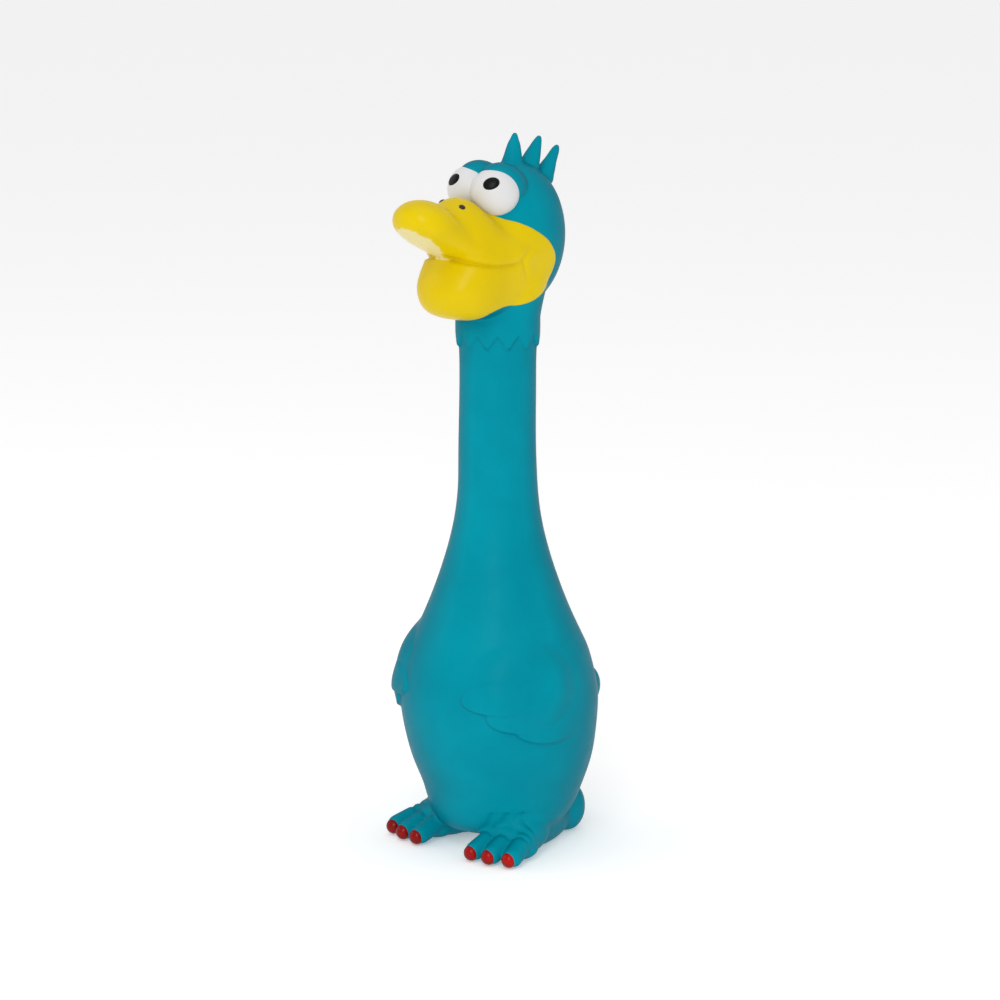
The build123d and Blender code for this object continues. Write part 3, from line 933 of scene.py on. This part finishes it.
class BIRD_OT_neck(bpy.types.Operator):
    """Neck skin, in bands"""

    bl_idname = "bird.neck"
    bl_label = "Neck skin"

    def execute(self, context):
        for number, (name, (low, high)) in enumerate(CUTS.items()):
            piece = skin_band(name, low, high)
            recall_normals(piece)
            finish_with(piece, latex())
            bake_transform(piece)
            if number < 4:
                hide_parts(f"neck_ring_{number + 1}")
        return {"FINISHED"}


def bill_prism():
    """The side outline of the bill's coat of paint, carried across the head as a cutter."""
    clear_selection()
    curve = bpy.data.curves.new("bill_edge", "CURVE")
    curve.dimensions = "2D"
    curve.fill_mode = "BOTH"
    curve.extrude = 40 * MM
    curve.resolution_u = 8
    spline = curve.splines.new("BEZIER")
    outline = BILL_EDGE + BILL_AHEAD
    spline.bezier_points.add(len(outline) - 1)
    for number, (point, (y, z)) in enumerate(zip(spline.bezier_points, outline)):
        point.co = (y * MM, z * MM, 0)
        kind = "AUTO" if 0 < number < len(BILL_EDGE) - 1 else "VECTOR"
        point.handle_left_type = point.handle_right_type = kind
    spline.use_cyclic_u = True
    obj = bpy.data.objects.new("bill_cutter", curve)
    bpy.context.scene.collection.objects.link(obj)
    obj.rotation_euler = (pi / 2, 0, pi / 2)
    pick(obj)
    bpy.ops.object.convert(target="MESH")
    return settle(bpy.context.object)


def cut_with(obj, cutter, operation):
    """Cuts the object with a closed cutter, and keeps its outside or its inside."""
    return modify(obj, "BOOLEAN", object=cutter, operation=operation, solver="EXACT")


FLEX_Y = -20.0  # the bill's two halves are cut off ahead of this plane
MOUTH_SEAM, MOUTH_UP = (0, -20.0, 232.7), (0, 0.22, 1.0)  # the plane that parts the bill's two halves


class BIRD_OT_head(bpy.types.Operator):
    """Head skin and the painted bill, with its two halves cut apart"""

    bl_idname = "bird.head"
    bl_label = "Head and bill"

    def execute(self, context):
        head = skin_band("head_skin_piece", CUTS["neck_skin_5"][1], None)
        cutter = bill_prism()
        bill = duplicate(head, "bill_cheeks")
        cut_with(head, cutter, "DIFFERENCE")
        cut_with(bill, cutter, "INTERSECT")
        bpy.data.objects.remove(cutter)
        lower = duplicate(bill, "lower_bill_skin")
        keep_side(bill, (0, FLEX_Y, 0), (0, 1, 0))
        keep_side(lower, (0, FLEX_Y, 0), (0, -1, 0))
        upper = duplicate(lower, "upper_bill_skin")
        keep_side(upper, MOUTH_SEAM, MOUTH_UP, fill=True)
        keep_side(lower, MOUTH_SEAM, [-part for part in MOUTH_UP], fill=True)
        for piece in (head, bill, upper, lower):
            recall_normals(piece)
        remember_place(upper)
        finish_with(head, latex())
        # the upper half's pale underside is bare latex and partly a painted reflection of the studio
        for piece in (bill, upper, lower):
            finish_with(piece, underside_coat_with_reflection() if piece is upper else bill_paint())
        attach(head, "head")
        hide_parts("head_skin")
        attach(bill, "head")
        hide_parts("bill_base")
        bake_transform(upper)
        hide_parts("upper_bill")
        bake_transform(lower)
        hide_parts("lower_bill")
        return {"FINISHED"}


PUPIL, PUPIL_TILT = (3.3, 2.65, 1.1), 20
PUPIL_SINK = 0.75
# the way each pupil looks out of its eye
GAZES = {"left": (0.50, -0.72, 0.47), "right": (-0.22, -0.85, 0.47)}


class BIRD_OT_eyes(bpy.types.Operator):
    """Painted eye domes and their pupils"""

    bl_idname = "bird.eyes"
    bl_label = "Eyes and pupils"

    def execute(self, context):
        for side, word in ((1, "left"), (-1, "right")):
            x, y, z = EYE_AT
            eye = blob((x * side, y, z), [EYE_RADIUS] * 3)
            eye = clay(f"eye_{word}_dome", [eye], sizes().fine_grain, 2)
            keep_side(eye, (0, 0, 0), (side, 0, 0), fill=True)
            finish_with(eye, eye_paint())
            eye.data.shade_smooth()
            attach(eye, "head")
            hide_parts(f"eye_{word}")
            gaze = Vector(GAZES[word]).normalized()
            centre = Vector((x * side, y, z)) + gaze * (EYE_RADIUS - PUPIL_SINK)
            turn = (gaze.to_track_quat("Z", "Y") @ Quaternion((0, 0, 1), radians(PUPIL_TILT))).to_euler()
            clear_selection()
            bpy.ops.mesh.primitive_uv_sphere_add(
                segments=64, ring_count=32, radius=1, location=centre * MM, rotation=turn)
            pupil = bpy.context.object
            pupil.scale = [radius * MM for radius in PUPIL]
            settle(pupil)
            pupil.name = pupil.data.name = f"pupil_{word}_dot"
            pupil.data.shade_smooth()
            finish_with(pupil, pupil_paint())
            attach(pupil, "head")
            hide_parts(f"pupil_{word}")
        return {"FINISHED"}


NOSTRIL = (1.5, 1.35, 0.9)
NOSTRIL_SPOTS = {"left": (6.4, -25.5, 254.9), "right": (-5.3, -24.7, 255.9)}


class BIRD_OT_nostrils(bpy.types.Operator):
    """Painted nostril dots"""

    bl_idname = "bird.nostrils"
    bl_label = "Nostrils"

    def execute(self, context):
        for side, word in ((1, "left"), (-1, "right")):
            dot = blob(NOSTRIL_SPOTS[word], NOSTRIL, (10, 32 * side, 0))
            dot.name = dot.data.name = f"nostril_{word}_dot"
            dot.data.shade_smooth()
            finish_with(dot, nostril_paint())
            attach(dot, "head")
            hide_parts(f"nostril_{word}")
        return {"FINISHED"}


SPIKE_BEND = (1.2, 6.5)  # a stretch of the spike from the root; its ends are worked out below but not used


class BIRD_OT_crest(bpy.types.Operator):
    """Three soft spikes on the crown"""

    bl_idname = "bird.crest"
    bl_label = "Crest spikes"

    def execute(self, context):
        for name, (tip, root) in CREST.items():
            base, point = Vector((0, *root)), Vector((0, *tip))
            spike = horn(base, point, spike_profile((point - base).length))
            spike.name = spike.data.name = f"crest_{name}_spike"
            spike.data.shade_smooth()
            finish_with(spike, latex())
            along = (point - base).normalized()
            start, end = ((base + along * distance) * MM for distance in SPIKE_BEND)
            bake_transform(spike)
            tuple(start)
            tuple(end)
            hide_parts(f"crest_{name}")
        return {"FINISHED"}


NAIL, NAIL_TILT = (3.15, 3.0, 3.1), -14
NAIL_AHEAD, NAIL_HEIGHT = 1.75, 3.3  # how far it sits ahead of the toe's tip ball, and its height


class BIRD_OT_nails(bpy.types.Operator):
    """Red toenails"""

    bl_idname = "bird.nails"
    bl_label = "Toenails"

    def execute(self, context):
        for side, word in ((1, "left"), (-1, "right")):
            for toe, (x, y) in TOE_TIPS.items():
                nail = blob((x * side, y - NAIL_AHEAD, NAIL_HEIGHT), NAIL, (NAIL_TILT, 0, 0))
                name = f"toenail_{word}_{toe}"
                nail.name = nail.data.name = name + "_coat"
                nail.data.shade_smooth()
                finish_with(nail, nail_paint())
                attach(nail, "torso")
                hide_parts(name)
        return {"FINISHED"}


class BIRD_OT_squeaker(bpy.types.Operator):
    """Finishes for the squeaker's own pieces"""

    bl_idname = "bird.squeaker"
    bl_label = "Squeaker"

    def execute(self, context):
        for name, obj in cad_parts.items():
            if name.startswith("squeaker"):
                material = reed_film() if name == "squeaker_reed" else insert_plastic()
                finish_with(obj, material)
        return {"FINISHED"}


CAMERA_DISTANCE, CAMERA_HEIGHT, CAMERA_TURN = 1.450, 0.440, radians(45)  # in metres
CAMERA_AIM = (0.0006, 0.0006, 0.1371)
LENS = 136.4
WORLD_SEEN, WORLD_LIGHT = 1.0, 0.66  # the backdrop's brightness to the camera, and as light on the bird


class BIRD_OT_stage(bpy.types.Operator):
    """Pale floor, soft studio light and the camera"""

    bl_idname = "bird.stage"
    bl_label = "Studio stage"

    def execute(self, context):
        scene = context.scene
        clear_selection()
        bpy.ops.mesh.primitive_plane_add(size=40, location=(0, 0, -0.0002))
        floor = bpy.context.object
        floor.name = floor.data.name = "studio_floor"
        material, _, _, bsdf = shader("Studio floor")
        bsdf.inputs["Base Color"].default_value = (0.88, 0.88, 0.88, 1)
        bsdf.inputs["Roughness"].default_value = 0.9
        bsdf.inputs["Specular IOR Level"].default_value = 0.1
        bsdf.inputs["Emission Color"].default_value = (1, 1, 1, 1)
        bsdf.inputs["Emission Strength"].default_value = 0.3
        finish_with(floor, material)
        world = bpy.data.worlds.new("Studio")
        scene.world = world
        world.use_nodes = True
        background = world.node_tree.nodes["Background"]
        path = world.node_tree.nodes.new("ShaderNodeLightPath")
        level = world.node_tree.nodes.new("ShaderNodeMapRange")
        level.inputs["To Min"].default_value = WORLD_LIGHT
        level.inputs["To Max"].default_value = WORLD_SEEN
        world.node_tree.links.new(path.outputs["Is Camera Ray"], level.inputs["Value"])
        world.node_tree.links.new(level.outputs["Result"], background.inputs["Strength"])
        background.inputs["Color"].default_value = (1, 1, 1, 1)

        def softbox(name, place, aim, width, height, power):
            light = bpy.data.lights.new(name, "AREA")
            light.shape = "RECTANGLE"
            light.size, light.size_y, light.energy = width, height, power
            obj = bpy.data.objects.new(name, light)
            scene.collection.objects.link(obj)
            obj.location = place
            direction = Vector(aim) - Vector(place)
            obj.rotation_euler = direction.to_track_quat("-Z", "Y").to_euler()

        softbox("key", (0.75, -1.05, 1.0), (0, 0, 0.15), 0.6, 1.1, 7.5)
        softbox("fill", (-1.1, -0.7, 0.6), (0, 0, 0.12), 0.8, 1.0, 1.5)
        softbox("top", (0.1, 0.1, 1.4), (0, 0, 0.1), 1.0, 1.0, 1.6)

        camera = bpy.data.cameras.new("camera")
        camera.sensor_width = 36
        camera.lens = LENS
        camera.clip_start, camera.clip_end = 0.05, 100
        view = bpy.data.objects.new("camera", camera)
        scene.collection.objects.link(view)
        view.location = (
            CAMERA_DISTANCE * sin(CAMERA_TURN), -CAMERA_DISTANCE * cos(CAMERA_TURN), CAMERA_HEIGHT)
        view.rotation_euler = (Vector(CAMERA_AIM) - view.location).to_track_quat("-Z", "Y").to_euler()
        scene.camera = view
        scene.view_settings.view_transform = "Standard"
        return {"FINISHED"}


class BIRD_OT_tidy(bpy.types.Operator):
    """Removes the clay master once its pieces are cut"""

    bl_idname = "bird.tidy"
    bl_label = "Remove the clay"

    def execute(self, context):
        bpy.data.objects.remove(moulding())
        return {"FINISHED"}


class BIRD_PT_panel(bpy.types.Panel):
    """Shows the bird's sizes, colours and building steps"""

    bl_idname = "BIRD_PT_panel"
    bl_label = "Latex Bird"
    bl_space_type = "VIEW_3D"
    bl_region_type = "UI"
    bl_category = "Latex Bird"

    def draw(self, context):
        for group in (context.scene.bird_sizes, context.scene.bird_colours):
            box = self.layout.box()
            for key in group.__annotations__:
                box.prop(group, key)
        for operator in OPERATORS:
            self.layout.operator(operator.bl_idname)


OPERATORS = [BIRD_OT_stage, BIRD_OT_body, BIRD_OT_neck, BIRD_OT_head, BIRD_OT_eyes, BIRD_OT_nostrils, BIRD_OT_crest,
             BIRD_OT_nails, BIRD_OT_squeaker, BIRD_OT_tidy]
CLASSES = [BirdSizes, BirdColours, *OPERATORS, BIRD_PT_panel]


def register():
    for cls in CLASSES:
        bpy.utils.register_class(cls)
    bpy.types.Scene.bird_sizes = bpy.props.PointerProperty(type=BirdSizes)
    bpy.types.Scene.bird_colours = bpy.props.PointerProperty(type=BirdColours)


def unregister():
    del bpy.types.Scene.bird_sizes
    del bpy.types.Scene.bird_colours
    for cls in reversed(CLASSES):
        bpy.utils.unregister_class(cls)


def main():
    register()
    bpy.ops.bird.stage()
    bpy.ops.bird.body()
    bpy.ops.bird.neck()
    bpy.ops.bird.head()
    bpy.ops.bird.eyes()
    bpy.ops.bird.nostrils()
    bpy.ops.bird.crest()
    bpy.ops.bird.nails()
    bpy.ops.bird.squeaker()
    bpy.ops.bird.tidy()


if __name__ == "__main__":
    main()
